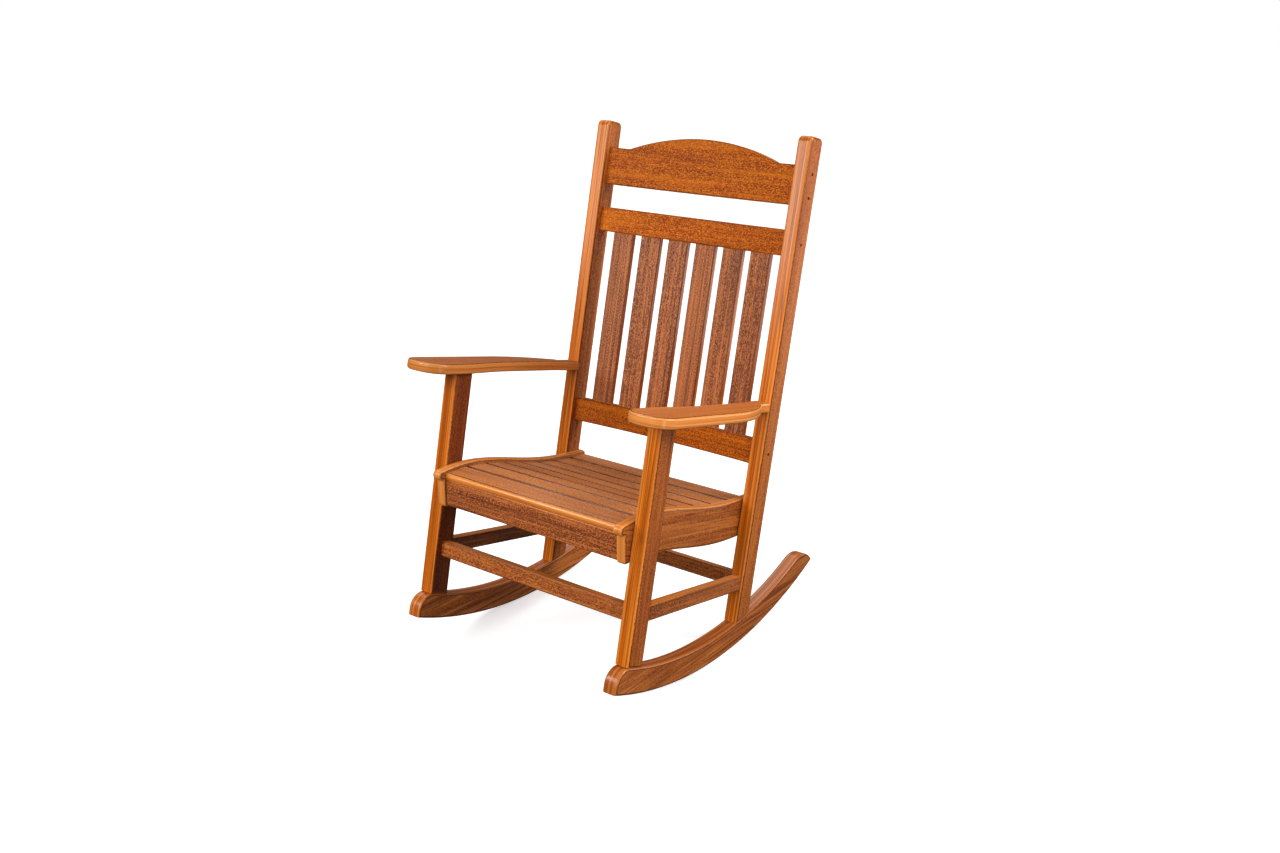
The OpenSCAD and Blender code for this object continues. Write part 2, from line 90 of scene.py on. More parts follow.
# how closely points and directions are compared
WELD = 0.001 * MM  # vertices this close are one
NEAR = 0.1 * MM  # points this close to an end or a corner belong to it
SAME_WAY = 0.999  # least cosine between directions that count as one
ROUGHLY = 0.9  # least cosine between directions that are roughly the same
ACROSS = 0.1  # greatest cosine between directions that are roughly at right angles
SMOOTH_BEND = 0.03  # sine of a bend below which an outline counts as smooth there
HEAD_ZONE = 1 * MM  # a screw's head is looked for this far from each of its ends
BESIDE = 1 * MM  # a screw this far outside a board's box still belongs to it
TINY = 1e-15  # keeps a triangle without area from dividing by zero

SEED_STEP = 0.37  # metres by which one step of a board's seed moves it in the patterns

# The chair is stored leaned back. Its arms are level when its legs are upright.
ARM_TOP = next(m for m in frame["record"]["mounts"] if m["name"] == "arm_top_left")
UP = np.array(ARM_TOP["axis"])
SIDE = np.array([1.0, 0.0, 0.0])
REAR = np.cross(UP, SIDE)


# ------------------------------------------------------------------ reading the CAD

def triangles(node):
    """Vertex positions and triangles of a CAD node, with the split vertices joined again."""
    mesh = frame["nodes"][node].data
    mesh.calc_loop_triangles()
    points = np.empty(len(mesh.vertices) * 3)
    mesh.vertices.foreach_get("co", points)
    corners = np.empty(len(mesh.loop_triangles) * 3, dtype=np.int32)
    mesh.loop_triangles.foreach_get("vertices", corners)
    keys = np.round(points.reshape(-1, 3) / WELD).astype(np.int64)
    _, first, joined = np.unique(keys, axis=0, return_index=True, return_inverse=True)
    return points.reshape(-1, 3)[first], joined.reshape(-1)[corners].reshape(-1, 3)


def normals_and_areas(points, tris):
    """The unit normal and the area of each triangle."""
    first, second, third = (points[tris[:, k]] for k in range(3))
    cross = np.cross(second - first, third - first)
    length = np.linalg.norm(cross, axis=1)
    return cross / np.maximum(length, TINY)[:, None], length / 2


def broad_direction(normals, areas):
    """The direction that most of a board's surface looks in."""
    _, group = np.unique(np.round(normals, 2), axis=0, return_inverse=True)
    shares = np.bincount(group.reshape(-1), weights=areas)
    chosen = group.reshape(-1) == shares.argmax()
    mean = (normals[chosen] * areas[chosen, None]).sum(axis=0)
    mean /= np.linalg.norm(mean)
    return mean if mean[np.abs(mean).argmax()] > 0 else -mean


def outer_loop(points, tris):
    """The longest closed boundary of some triangles, as indices of points in order."""
    edges = {(int(a), int(b)) for t in tris for a, b in zip(t, np.roll(t, -1))}
    following = {a: b for a, b in edges if (b, a) not in edges}
    loops = []
    while following:
        start, here = following.popitem()
        loop = [start]
        while here != start:
            loop.append(here)
            here = following.pop(here)
        loops.append(loop)
    spans = []
    for loop in loops:
        step = points[loop] - np.roll(points[loop], 1, axis=0)
        spans.append(np.linalg.norm(step, axis=1).sum())
    return loops[int(np.argmax(spans))]


def long_direction(points, normal):
    """The direction in the plane across normal in which an outline reaches furthest."""
    step = np.roll(points, -1, axis=0) - points
    length = np.linalg.norm(step, axis=1)
    middle = points + step / 2
    offset = middle - np.average(middle, axis=0, weights=length)
    spread = (offset * length[:, None]).T @ offset
    along = np.linalg.eigh(spread)[1][:, -1]
    along -= normal * (along @ normal)
    along /= np.linalg.norm(along)
    return along if along[np.abs(along).argmax()] > 0 else -along


class Board:
    """A board's own frame, read from its CAD node: along it, across it and through it."""

    def __init__(self, node, along=None):
        points, tris = triangles(node)
        normals, areas = normals_and_areas(points, tris)
        through = broad_direction(normals, areas)
        face = tris[normals @ through > SAME_WAY]
        loop = points[outer_loop(points, face)]
        if along is None:
            along = long_direction(loop, through)
        self.axes = np.array([along, np.cross(through, along), through])
        inside = points @ self.axes.T
        middle = (inside.min(axis=0) + inside.max(axis=0)) / 2
        self.size = inside.max(axis=0) - inside.min(axis=0)
        self.centre = middle @ self.axes
        self.outline = (loop @ self.axes.T)[:, :2] - middle[:2]

    def rectangle(self):
        """The outline of a board that is a plain rectangle, from its size."""
        x, y = self.size[:2] / 2
        return np.array([[-x, -y], [x, -y], [x, y], [-x, y]])

    def place(self, local):
        """Where points given along, across and through the board are in the scene."""
        return np.asarray(local) @ self.axes + self.centre


# ------------------------------------------------------------------ meshes

def seed_of(name):
    """A number below 997 made from a board's name. It gives each board its own grain."""
    return sum((i + 3) * ord(c) for i, c in enumerate(name)) % 997


def store(mesh, name, kind, values):
    """Stores a value for each vertex, or for each corner of each face, at the mesh's corners."""
    values = np.asarray(values, dtype=np.float32)
    if len(values) == len(mesh.vertices):
        corner = np.empty(len(mesh.loops), dtype=np.int32)
        mesh.loops.foreach_get("vertex_index", corner)
        values = values[corner]
    attribute = mesh.attributes.new(name, kind, "CORNER")
    key = "vector" if kind == "FLOAT_VECTOR" else "value"
    attribute.data.foreach_set(key, values.ravel())


def add_piece(name, vertices, faces, local, edge, cut, material, node, tone_and_painted_light):
    """Makes a lumber piece that stands for a CAD node.

    local is the place along, across and through the board, edge is the place along and through
    the board's edge, and cut is the depth below its faces.
    """
    mesh = bpy.data.meshes.new(name)
    mesh.from_pydata([tuple(v) for v in vertices], [], faces)
    store(mesh, "grain", "FLOAT_VECTOR", np.asarray(local) + SEED_STEP * seed_of(node))
    store(mesh, "edge", "FLOAT_VECTOR", np.asarray(edge) + SEED_STEP * seed_of(node))
    store(mesh, "cut", "FLOAT", cut)
    store(mesh, "tone_and_painted_light", "FLOAT", np.full(len(vertices), tone_and_painted_light))
    mesh.validate()
    piece = bpy.data.objects.new(name, mesh)
    bpy.context.scene.collection.objects.link(piece)
    mesh.materials.append(material)
    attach(piece, "root")
    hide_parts(node)
    return piece


def finish_shading(piece):
    """Smooth machined edges beside flat faces."""
    mesh = piece.data
    mesh.polygons.foreach_set("use_smooth", [True] * len(mesh.polygons))
    mesh.set_sharp_from_angle(angle=CREASE)
    weighted = piece.modifiers.new("even_faces", "WEIGHTED_NORMAL")
    weighted.keep_sharp = True
    weighted.weight = 100


def drop_close_points(outline, least=0.05 * MM):
    """An outline without the points that all but coincide with the one before."""
    gap = np.linalg.norm(outline - np.roll(outline, 1, axis=0), axis=1)
    return outline[gap > least]


def corner_shift(before, after, d_before, d_after):
    """How far a corner moves when its two edges move inwards by d_before and d_after."""
    det = before[:, 0] * after[:, 1] - before[:, 1] * after[:, 0]
    bends = np.abs(det) > SMOOTH_BEND
    safe = np.where(bends, det, 1.0)
    corner = np.stack(
        [
            (d_before * after[:, 1] - d_after * before[:, 1]) / safe,
            (before[:, 0] * d_after - after[:, 0] * d_before) / safe,
        ],
        axis=1,
    )
    mean = before + after
    mean /= np.linalg.norm(mean, axis=1)[:, None]
    smooth = mean * ((d_before + d_after) / 2)[:, None]
    return np.where(bends[:, None], corner, smooth)


def plate(board, outline, radius, square_ends=False, front_radius=None):
    """Vertices and faces of a board cut to an outline, with its machined edges rounded over to a
    radius, and the place along and through its edge of each corner of each face.

    square_ends leaves the edges across the two ends sharp, where the board meets another.
    front_radius rounds the edge with the lowest across more than the others.
    """
    outline = drop_close_points(outline)
    half = board.size[2] / 2
    step = np.roll(outline, -1, axis=0) - outline
    length = np.linalg.norm(step, axis=1)
    step /= length[:, None]
    inward = np.stack([-step[:, 1], step[:, 0]], axis=1)
    rounding = np.full(len(outline), radius)
    if front_radius is not None:
        rounding[inward[:, 1] > ROUGHLY] = front_radius
    if square_ends:
        rounding[np.abs(step[:, 0]) < ACROSS] = 0.0
    inward_before, rounding_before = np.roll(inward, 1, axis=0), np.roll(rounding, 1)
    widest = np.maximum(rounding, rounding_before)
    rings = []
    for angle in np.linspace(0, math.pi / 2, ROUND_STEPS + 1):
        inset, drop = 1 - math.sin(angle), 1 - math.cos(angle)
        shift = corner_shift(inward_before, inward, rounding_before * inset, rounding * inset)
        rings.append(np.column_stack([outline + shift, half - widest * drop]))
    rings += [ring * [1, 1, -1] for ring in reversed(rings)]
    n = len(outline)
    run = np.concatenate([[0], np.cumsum(length)])
    faces = [tuple(range(n)), tuple(range(len(rings) * n - 1, (len(rings) - 1) * n - 1, -1))]
    edge = [(0, 0, 0)] * (2 * n)  # the two broad faces have no place along the edge
    for k in range(len(rings) - 1):
        high, low = rings[k][0][2], rings[k + 1][0][2]
        for i in range(n):
            j = (i + 1) % n
            faces.append((k * n + i, (k + 1) * n + i, (k + 1) * n + j, k * n + j))
            edge += [(run[i], 0, high), (run[i], 0, low)]
            edge += [(run[i + 1], 0, low), (run[i + 1], 0, high)]
    return np.concatenate(rings), faces, edge


def screw_islands(node):
    """Each screw of a fastener node: the middle of its head's top, the direction from its tip to
    its head, its length and the radius of its head."""
    points, tris = triangles(node)
    parent = np.arange(len(points))

    def root(i):
        while parent[i] != i:
            parent[i] = parent[parent[i]]
            i = parent[i]
        return i

    for a, b, c in tris:
        parent[root(a)] = root(b)
        parent[root(b)] = root(c)
    roots = np.array([root(i) for i in range(len(points))])
    found = []
    for r in np.unique(roots):
        island = points[roots == r]
        middle = island.mean(axis=0)
        axis = np.linalg.svd(island - middle, full_matrices=False)[2][0]
        height = (island - middle) @ axis
        radial = np.linalg.norm(island - middle - np.outer(height, axis), axis=1)
        above = radial[height > height.max() - HEAD_ZONE].max()
        below = radial[height < height.min() + HEAD_ZONE].max()
        if above < below:
            height = -height
        ends = [island[height > height.max() - NEAR], island[height < height.min() + NEAR]]
        top, tip = (end.mean(axis=0) for end in ends)
        centre_line = (top - tip) / np.linalg.norm(top - tip)
        reach = np.linalg.norm(ends[0] - top, axis=1).max()
        found.append((top, centre_line, np.linalg.norm(top - tip), reach))
    return found


def turned(profile, top, axis, sides=TURNED_SIDES):
    """Vertices and faces of a profile of (radius, height) turned about axis, height up from top."""
    side = np.cross(axis, SIDE if abs(axis[0]) < ROUGHLY else UP)
    side /= np.linalg.norm(side)
    other = np.cross(axis, side)
    vertices, faces = [], []
    for radius, height in profile:
        for k in range(sides):
            angle = 2 * math.pi * k / sides
            ring = side * math.cos(angle) + other * math.sin(angle)
            vertices.append(top + axis * height + ring * radius)
    for j in range(len(profile) - 1):
        for k in range(sides):
            m = (k + 1) % sides
            faces.append((j * sides + k, j * sides + m, (j + 1) * sides + m, (j + 1) * sides + k))
    faces.append(tuple(range(sides - 1, -1, -1)))
    faces.append(tuple(range((len(profile) - 1) * sides, len(profile) * sides)))
    return vertices, faces


def cut_out(piece, cutter):
    """Cuts the shape of cutter out of a board, for good, and removes cutter."""
    bpy.context.scene.collection.objects.link(cutter)
    cut = piece.modifiers.new("cut", "BOOLEAN")
    cut.operation = "DIFFERENCE"
    cut.solver = "MANIFOLD"
    cut.object = cutter
    bpy.context.view_layer.update()
    evaluated = piece.evaluated_get(bpy.context.evaluated_depsgraph_get())
    result = bpy.data.meshes.new_from_object(evaluated)
    piece.modifiers.clear()
    piece.data = result
    bpy.data.objects.remove(cutter)


def drill(piece, screws, clearance=0.15 * MM, through=40 * MM, deep=6 * MM, dark=-0.7):
    """Cuts the seat of each screw head, and the open recess above it, out of a board.

    deep is the depth below the skin that the recess is coloured for, and dark how much darker it is
    coloured: a painted shade for the shadow inside the recess.
    """
    vertices, faces = [], []
    for top, axis, _, reach in screws:
        radius = reach + clearance
        v, f = turned([(radius, -HEAD_HEIGHT), (radius, through)], top, axis)
        faces += [tuple(i + len(vertices) for i in face) for face in f]
        vertices += v
    mesh = bpy.data.meshes.new("recesses")
    mesh.from_pydata([tuple(v) for v in vertices], [], faces)
    store(mesh, "grain", "FLOAT_VECTOR", vertices)
    store(mesh, "edge", "FLOAT_VECTOR", vertices)
    store(mesh, "cut", "FLOAT", np.full(len(vertices), deep))
    # the recess is coloured darker: painted shade inside the hole
    store(mesh, "tone_and_painted_light", "FLOAT", np.full(len(vertices), dark))
    mesh.materials.append(piece.data.materials[0])
    cut_out(piece, bpy.data.objects.new("recesses", mesh))


# ------------------------------------------------------------------ materials

class Nodes:
    """Short calls for building a material's nodes."""

    def __init__(self, name):
        self.material = bpy.data.materials.new(name)
        self.material.use_nodes = True
        self.tree = self.material.node_tree
        self.shader = self.tree.nodes["Principled BSDF"]

    def link(self, value, socket):
        """Connects another node's output to a socket, or sets a constant on it."""
        if isinstance(value, bpy.types.NodeSocket):
            self.tree.links.new(value, socket)
        else:
            socket.default_value = value

    def attribute(self, name, output="Fac"):
        """A value stored on the mesh."""
        node = self.tree.nodes.new("ShaderNodeAttribute")
        node.attribute_name = name
        return node.outputs[output]

    def math(self, operation, a, b=0.0, clamp=False):
        """One sum. clamp keeps its result between 0 and 1."""
        node = self.tree.nodes.new("ShaderNodeMath")
        node.operation = operation
        node.use_clamp = clamp
        self.link(a, node.inputs[0])
        self.link(b, node.inputs[1])
        return node.outputs[0]

    def scaled(self, vector, scale):
        """A vector with each axis multiplied by its own number."""
        node = self.tree.nodes.new("ShaderNodeVectorMath")
        node.operation = "MULTIPLY"
        self.link(vector, node.inputs[0])
        node.inputs[1].default_value = scale
        return node.outputs[0]

    def noise(self, vector, scale, detail=2.0, roughness=0.5):
        """Noise whose features are 1 / scale metres along each of the vector's axes."""
        node = self.tree.nodes.new("ShaderNodeTexNoise")
        self.link(self.scaled(vector, scale), node.inputs["Vector"])
        node.inputs["Scale"].default_value = 1.0
        node.inputs["Detail"].default_value = detail
        node.inputs["Roughness"].default_value = roughness
        return node.outputs["Fac"]

    def smooth(self, value, low, high):
        """0 where value is low, 1 where it is high, and an S-shaped curve between them."""
        node = self.tree.nodes.new("ShaderNodeMapRange")
        node.interpolation_type = "SMOOTHSTEP"
        self.link(value, node.inputs["Value"])
        node.inputs["From Min"].default_value = low
        node.inputs["From Max"].default_value = high
        return node.outputs["Result"]

    def ramp(self, value, low, high, start, end):
        """start where value is low, end where it is high, and a straight line between them."""
        node = self.tree.nodes.new("ShaderNodeMapRange")
        self.link(value, node.inputs["Value"])
        node.inputs["From Min"].default_value = low
        node.inputs["From Max"].default_value = high
        node.inputs["To Min"].default_value = start
        node.inputs["To Max"].default_value = end
        return node.outputs["Result"]

    def mix(self, share, a, b, kind="RGBA"):
        """a where share is 0 and b where it is 1: colours, or numbers where kind is FLOAT."""
        node = self.tree.nodes.new("ShaderNodeMix")
        node.data_type = kind
        self.link(share, node.inputs["Factor"])
        self.link(a, node.inputs["A"])
        self.link(b, node.inputs["B"])
        return node.outputs["Result"]

    def lay(self, under, pattern, low, high, share, over):
        """Lays a colour over another, up to share of it, as pattern goes from low to high."""
        return self.mix(self.math("MULTIPLY", self.smooth(pattern, low, high), share), under, over)

    def added(self, *patterns):
        """Two patterns added. Each is given as the pattern, its low and high, and its weight."""
        one, two = (
            self.math("MULTIPLY", self.smooth(pattern, low, high), weight)
            for pattern, low, high, weight in patterns
        )
        return self.math("ADD", one, two, clamp=True)


def linear(red, green, blue):
    """The linear colour of one given as 0 to 255 on screen."""
    return tuple((c / 255) ** 2.2 for c in (red, green, blue)) + (1.0,)


def lumber(name, skin, edge, flecks, streaks, gloss=0.45):
    """Wood-grain plastic lumber. Its faces have an embossed skin, and its machined edges are
    smoother and brighter, with fine lines that follow the edge. A ragged dark line runs between
    them. skin and edge are a middle, a dark and a light colour each, and edge also has a lighter
    colour painted on the polished rounding as a highlight. flecks and streaks weight the skin's
    two patterns."""
    face, deep, glow = skin
    edge_face, edge_deep, edge_glow, painted_highlight = edge
    n = Nodes(name)
    grain = n.attribute("grain", "Vector")
    along_edge = n.attribute("edge", "Vector")
    depth = n.attribute("cut")

    # patterns, each with its number of features per metre along, across and through the board
    bands = n.noise(grain, (1.3, 24, 24), 2.0)
    lines = n.noise(grain, (1.1, 115, 115), 2.0, 0.6)
    streak = n.noise(grain, (6, 210, 210), 3.0, 0.55)
    fleck = n.noise(grain, (230, 470, 470), 3.0, 0.5)
    grit = n.noise(grain, (520, 900, 900), 2.0, 0.6)
    ridges = n.noise(along_edge, (1.2, 1, 170), 2.0, 0.5)
    grooves = n.noise(along_edge, (0.7, 1, 95), 2.0, 0.5)

    # the embossed skin: light and dark flecks and streaks, then bands, lines and pits
    light = n.added((fleck, 0.52, 0.60, flecks), (streak, 0.53, 0.63, streaks))
    dark = n.added((fleck, 0.48, 0.38, flecks), (streak, 0.47, 0.37, streaks))
    skin = n.mix(light, n.mix(dark, face, deep), glow)
    skin = n.lay(skin, bands, 0.52, 0.66, 0.28, deep)
    skin = n.lay(skin, bands, 0.46, 0.34, 0.30, glow)
    skin = n.lay(skin, lines, 0.58, 0.66, streaks, deep)
    skin = n.lay(skin, lines, 0.40, 0.32, streaks, glow)
    skin = n.lay(skin, grit, 0.57, 0.68, 0.5, deep)

    # the machined edges: ridges, grooves, a thin line along each contour of the grooves, and a
    # painted highlight: a lighter, less rough band on the rounding, between about 2 and 5 mm below
    # the skin
    off_line = n.math("ABSOLUTE", n.math("SUBTRACT", grooves, 0.55))
    thin = n.smooth(off_line, 0.028, 0.008)
    polish_and_painted_highlight = n.math(
        "MULTIPLY", n.smooth(depth, 1.4 * MM, 2.4 * MM), n.smooth(depth, 5.6 * MM, 4.2 * MM)
    )
    machined = n.mix(n.smooth(ridges, 0.46, 0.58), edge_face, edge_glow)
    machined = n.lay(machined, grooves, 0.46, 0.34, 0.5, edge_deep)
    machined = n.mix(n.math("MULTIPLY", thin, 0.6), machined, edge_deep)
    machined = n.lay(machined, fleck, 0.56, 0.66, 0.2, edge_glow)
    # the painted highlight on the rounding
    machined = n.mix(n.math("MULTIPLY", polish_and_painted_highlight, 0.5), machined, painted_highlight)

    # where the router stopped, the skin ends in a ragged dark line
    ragged = n.math("MULTIPLY", depth, n.ramp(fleck, 0.3, 0.7, 0.3, 1.7))
    routed = n.smooth(ragged, 0.02 * MM, 0.12 * MM)
    rim = n.math("MULTIPLY", routed, n.smooth(ragged, 1.0 * MM, 0.6 * MM))
    colour = n.mix(routed, skin, machined)
    colour = n.mix(n.math("MULTIPLY", rim, 0.8), colour, RIM)

    # each board has its own tone; on a few boards, and in the screw recesses, it is painted light
    # or shade
    shade = n.tree.nodes.new("ShaderNodeHueSaturation")
    n.link(n.math("ADD", n.attribute("tone_and_painted_light"), 1.0), shade.inputs["Value"])
    n.link(colour, shade.inputs["Color"])
    n.link(shade.outputs["Color"], n.shader.inputs["Base Color"])

    # the skin is duller than the machined edges, and their polished rounding shines most
    skin_rough = n.ramp(fleck, 0.3, 0.7, 0.62, 0.44)
    planed_rough = n.math(
        "SUBTRACT", n.ramp(ridges, 0.3, 0.7, 0.22, 0.30), n.math("MULTIPLY", polish_and_painted_highlight, 0.06)
    )
    n.link(n.mix(routed, skin_rough, planed_rough, "FLOAT"), n.shader.inputs["Roughness"])

    # relief, in metres: flecks, pits and streaks in the skin, ridges and thin lines on the edges
    embossed = n.math(
        "ADD", n.math("MULTIPLY", fleck, 0.40 * MM), n.math("MULTIPLY", grit, 0.10 * MM)
    )
    embossed = n.math("ADD", embossed, n.math("MULTIPLY", streak, 0.45 * MM))
    planed = n.math(
        "ADD", n.math("MULTIPLY", ridges, 0.06 * MM), n.math("MULTIPLY", thin, -0.04 * MM)
    )
    bump = n.tree.nodes.new("ShaderNodeBump")
    bump.inputs["Strength"].default_value = 0.6
    bump.inputs["Distance"].default_value = 1.0
    n.link(n.mix(routed, embossed, planed, "FLOAT"), bump.inputs["Height"])
    n.link(bump.outputs["Normal"], n.shader.inputs["Normal"])
    n.shader.inputs["Specular IOR Level"].default_value = gloss
    n.shader.inputs["Specular Tint"].default_value = WARM_SHINE
    return n.material


def steel(name):
    """Zinc plating, with duller and darker patches."""
    n = Nodes(name)
    spot = n.tree.nodes.new("ShaderNodeTexCoord").outputs["Object"]
    patches = n.noise(spot, (900, 900, 900), 4.0, 0.6)
    colour = n.mix(patches, linear(150, 140, 120), linear(205, 200, 190))
    n.link(colour, n.shader.inputs["Base Color"])
    n.link(n.ramp(patches, 0.3, 0.7, 0.28, 0.5), n.shader.inputs["Roughness"])
    n.shader.inputs["Metallic"].default_value = 1.0
    return n.material


# colours of the machined edges: middle, dark, light, and the painted highlight on the polished
# rounding
POST_EDGE = linear(182, 90, 16), linear(100, 38, 4), linear(214, 120, 38), linear(222, 136, 62)
ROCKER_EDGE = linear(154, 80, 32), linear(98, 40, 10), linear(182, 104, 48), linear(178, 100, 44)
SLAT_EDGE = linear(166, 80, 10), linear(100, 40, 3), linear(190, 98, 18), linear(174, 86, 14)
PALE_EDGE = linear(216, 128, 54), linear(172, 88, 26), linear(228, 144, 74), linear(232, 154, 86)
# the seat slats' edges face the gaps between them and are coloured dark: painted shade for the gaps
PAINTED_SHADE_GAP_EDGE = linear(104, 46, 14), linear(70, 26, 6), linear(124, 60, 22), linear(124, 60, 22)
RIM = linear(64, 22, 4)  # the dark line between skin and edge
WARM_SHINE = (1.0, 0.84, 0.68, 1.0)

# colours of the embossed skin: middle, dark and light
FRAME_SKIN = linear(160, 80, 26), linear(100, 40, 8), linear(198, 114, 48)
# a darker skin for the right front leg: painted shade, for its inner face in the chair's shadow
PAINTED_SHADE_FRAME_SKIN = linear(102, 42, 5), linear(66, 22, 2), linear(138, 66, 15)
ROCKER_SKIN = linear(158, 82, 32), linear(102, 46, 15), linear(198, 118, 56)
RAIL_SKIN = linear(158, 72, 2), linear(116, 46, 1), linear(218, 118, 14)
ARM_SKIN = linear(188, 102, 41), linear(154, 73, 23), linear(206, 125, 63)
SCOOP_SKIN = linear(156, 80, 28), linear(108, 48, 12), linear(194, 112, 50)
SLAT_SKIN = linear(134, 68, 31), linear(76, 31, 13), linear(190, 108, 54)
# the seat slats' skin is the slat colour made lighter and pinker: painted sheen on the seat's top
# faces
PAINTED_SHEEN_SEAT_SKIN = linear(190, 112, 58), linear(132, 66, 31), linear(220, 146, 88)

# each kind of board: skin, edge, and the weight of its flecks and of its streaks, and gloss
# where it differs
KINDS = {
    "frame": (FRAME_SKIN, POST_EDGE, 0.9, 0.45),
    "painted_shade_frame": (PAINTED_SHADE_FRAME_SKIN, POST_EDGE, 0.9, 0.45),
    "rockers": (ROCKER_SKIN, ROCKER_EDGE, 0.45, 0.8),
    "rails": (RAIL_SKIN, POST_EDGE, 0.9, 0.3, 0.15),
    "arms": (ARM_SKIN, PALE_EDGE, 0.6, 0.4),
    "scoops": (SCOOP_SKIN, PALE_EDGE, 0.7, 0.7),
    "slats": (SLAT_SKIN, POST_EDGE, 0.9, 0.6),
    "back_slats": (SLAT_SKIN, SLAT_EDGE, 0.9, 0.6),
    "seat": (PAINTED_SHEEN_SEAT_SKIN, PAINTED_SHADE_GAP_EDGE, 0.9, 0.35),
    "seat_front": (PAINTED_SHEEN_SEAT_SKIN, PALE_EDGE, 0.9, 0.35),
}
LUMBER = {kind: lumber("lumber_" + kind, *look) for kind, look in KINDS.items()}
STEEL = steel("zinc_steel")


# ------------------------------------------------------------------ the boards

# painted light and shade: boards made paler, or darker where below 0, for how the light falls on
# them.
# The apron under the nosing and the right rocker's inner face are lightened, the right arm and the
# lower back rail are darkened, and the right front leg is lifted from its darker skin.
PAINTED_LIGHT_AND_SHADE = {
    "apron_front": 0.2,
    "arm_right": -0.2,
    "back_rail_lower": -0.13,
    "front_leg_right": 0.1,
    "rocker_right": 0.3,
}


def tone_and_painted_light_of(node):
    """A board's own tone: up to 0.06 paler or darker at random, or, for the few boards listed
    above, a painted light or shade instead.
    """
    return PAINTED_LIGHT_AND_SHADE.get(node, ((seed_of(node) * 7) % 13 - 6) / 100)


def make_plate(
    node, kind, radius, outline=None, square_ends=False, front_radius=None, board=None
):
    """A board cut to its CAD node's outline, or to another one."""
    board = board or Board(node)
    shape = board.outline if outline is None else outline
    local, faces, edge = plate(board, shape, radius, square_ends, front_radius)
    cut = board.size[2] / 2 - np.abs(local[:, 2])
    place, look, tone_and_painted_light = board.place(local), LUMBER[kind], tone_and_painted_light_of(node)
    return add_piece("v_" + node, place, faces, local, edge, cut, look, node, tone_and_painted_light)


def make_rectangle(node, kind, radius, front_radius=None, along=None):
    """A plain straight board with square ends, in the size of its CAD node."""
    board = Board(node, along=along)
    return make_plate(node, kind, radius, board.rectangle(), True, front_radius, board)


pieces = []
for side in ("right", "left"):
    # the right front leg has the darker skin, painted shade for its shaded inner face
    shade = "painted_shade_frame" if side == "right" else "frame"
    pieces += [
        make_plate("rocker_" + side, "rockers", EDGE_ROUND),
        make_plate("front_leg_" + side, shade, EDGE_ROUND),
        make_plate("rear_post_" + side, "frame", EDGE_ROUND),
        make_plate("arm_" + side, "arms", EDGE_ROUND),
        make_plate("seat_rail_" + side, "scoops", EDGE_ROUND),
        make_plate("seat_cleat_" + side, "slats", CLEAT_ROUND),
        make_rectangle("stretcher_" + side, "slats", THIN_ROUND),
    ]
pieces.append(make_plate("seat_center_support", "slats", CLEAT_ROUND))
for node in ("stretcher_front", "stretcher_rear"):
    pieces.append(make_rectangle(node, "frame", THIN_ROUND, along=SIDE))
for node in ("apron_front", "seat_rear_board"):
    pieces.append(make_rectangle(node, "slats", THIN_ROUND, along=SIDE))
for k in range(1, SEAT_SLATS + 1):
    node = f"seat_slat_{k}"
    kind, nosing = ("seat_front", NOSING) if k == 1 else ("seat", None)
    pieces.append(make_rectangle(node, kind, THIN_ROUND, nosing, along=SIDE))
for k in range(1, BACK_SLATS + 1):
    node = f"back_slat_{k}"
    pieces.append(make_rectangle(node, "back_slats", SLAT_ROUND, along=UP))


# ------------------------------------------------------------------ bowed rails

def bowed_rail(node, kind, radius):
    """A rail bent in plan, whose ends meet the posts. Its top follows the CAD's own outline."""
    points, tris = triangles(node)
    normals, _ = normals_and_areas(points, tris)
    face = points[outer_loop(points, tris[normals @ REAR < -ROUGHLY])]
    x, height = face @ SIDE, face @ UP
    half_width, bottom = x.max(), height.min()
    is_top = height > (bottom + height[x > half_width - NEAR].max()) / 2
    order = np.argsort(x[is_top])
    known, known_top = x[is_top][order], height[is_top][order]

    # the bow in plan: its outer and inner radius, and the centre that they share
    depth = points @ REAR
    at_end = depth[np.abs(points @ SIDE) > half_width - NEAR]
    thick = at_end.max() - at_end.min()
    rise = depth.max() - at_end.max()
    outer = (half_width**2 + rise**2) / (2 * rise)
    inner = math.hypot(outer - rise - thick, half_width)
    middle, half = (outer + inner) / 2, (outer - inner) / 2
    centre = depth.max() - outer

    # stations along the rail, to the micrometre, then a rounded rectangle at each one
    even = np.linspace(-half_width, half_width, RAIL_STATIONS)
    spots = np.unique(np.round(np.concatenate([known, even]), 6))
    top = np.interp(spots, known, known_top)
    arc = np.linspace(0, math.pi / 2, ROUND_STEPS + 1)
    section = [(-1, -1, arc[::-1]), (-1, 1, arc), (1, 1, arc[::-1]), (1, -1, arc)]
    local, vertices, n = [], [], 4 * len(arc)
    for at, t in zip(spots, top):
        for z_side, w_side, angles in section:
            for angle in angles:
                inset = radius * (1 - math.cos(angle))
                z = bottom + inset if z_side < 0 else t - inset
                w = w_side * (half - radius * (1 - math.sin(angle)))
                back = centre + math.sqrt((middle + w) ** 2 - at**2)
                local.append((middle * math.asin(at / middle), z, w))
                vertices.append(at * SIDE + back * REAR + z * UP)
    local = np.array(local)
    ends = [tuple(range(n - 1, -1, -1)), tuple(range((len(spots) - 1) * n, len(spots) * n))]
    faces = ends + [
        (k * n + i, k * n + (i + 1) % n, (k + 1) * n + (i + 1) % n, (k + 1) * n + i)
        for k in range(len(spots) - 1)
        for i in range(n)
    ]
    cut = half - np.abs(local[:, 2])
    edge = local * [1, 0, 1]
    look, tone_and_painted_light = LUMBER[kind], tone_and_painted_light_of(node)
    return add_piece("v_" + node, vertices, faces, local, edge, cut, look, node, tone_and_painted_light)


for node in ("crest_rail", "back_rail_upper", "back_rail_lower"):
    pieces.append(bowed_rail(node, "rails", THIN_ROUND))

